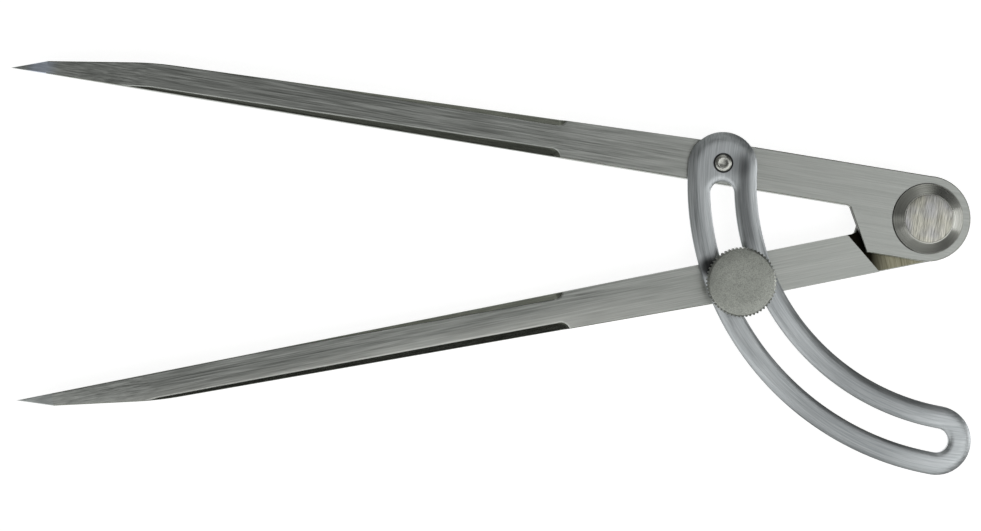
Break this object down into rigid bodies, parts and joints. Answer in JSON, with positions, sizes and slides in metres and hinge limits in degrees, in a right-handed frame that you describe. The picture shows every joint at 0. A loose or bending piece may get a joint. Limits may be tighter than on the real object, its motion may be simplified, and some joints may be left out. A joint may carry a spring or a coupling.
{
  "type": "layout compass",
  "caption": "Steel layout compass with flat tapered scribing legs, a riveted lap hinge and a slotted wing held by a knurled clamp screw.",
  "frame": {"origin": "on the hinge axis, at the flat rear end of the hinge rivet", "axes": "the legs point along -X either side of the X axis, +Y is towards the pivot leg, +Z runs along the hinge axis out of the front, where the wing and the clamp screw are"},
  "size_m": [0.1977, 0.0883, 0.014],
  "materials": {
    "leg_steel": "ground along the leg, oiled",
    "wing_steel": "brushed along the arc, edges rounded",
    "rivet_steel": "filed flush",
    "turned_steel": "turned",
    "knob_steel": "matte face, straight knurl",
    "shim_brass": "rolled, oiled"
  },
  "bodies": {
    "pivot_leg": {"pivot_leg": "leg_steel", "hinge_rivet": "rivet_steel", "front_cone_washer": "turned_steel", "rear_cone_washer": "turned_steel", "friction_washer": "shim_brass"},
    "clamp_leg": {"clamp_leg": "leg_steel"},
    "wing": {"wing": "wing_steel", "wing_pin": "rivet_steel"},
    "clamp_washer": {"clamp_washer": "turned_steel"},
    "clamp_screw": {"clamp_screw": "knob_steel"}
  },
  "joints": [
    {"name": "leg_hinge", "type": "hinge", "parent": "pivot_leg", "child": "clamp_leg", "pos_m": [0, 0, 0], "axis": [0, 0, 1], "range_deg": [-20.6, 79]},
    {"name": "wing_swing", "type": "hinge", "parent": "pivot_leg", "child": "wing", "pos_m": [-0.04211, 0.01212, 0], "axis": [0, 0, 1], "range_deg": [-1.2, 4.5]},
    {"name": "clamp_lift", "type": "slide", "parent": "clamp_leg", "child": "clamp_washer", "axis": [0, 0, 1], "range_m": [0, 0.0014]},
    {"name": "screw_turn", "type": "hinge", "parent": "clamp_washer", "child": "clamp_screw", "pos_m": [-0.03911, -0.01239, 0], "axis": [0, 0, 1], "range_deg": [0, 720]}
  ],
  "couplings": [
    {"joint": "wing_swing", "follows": "leg_hinge", "ratio": 0.0555},
    {"joint": "clamp_lift", "follows": "screw_turn", "m_per_rad": 0.00011141}
  ]
}
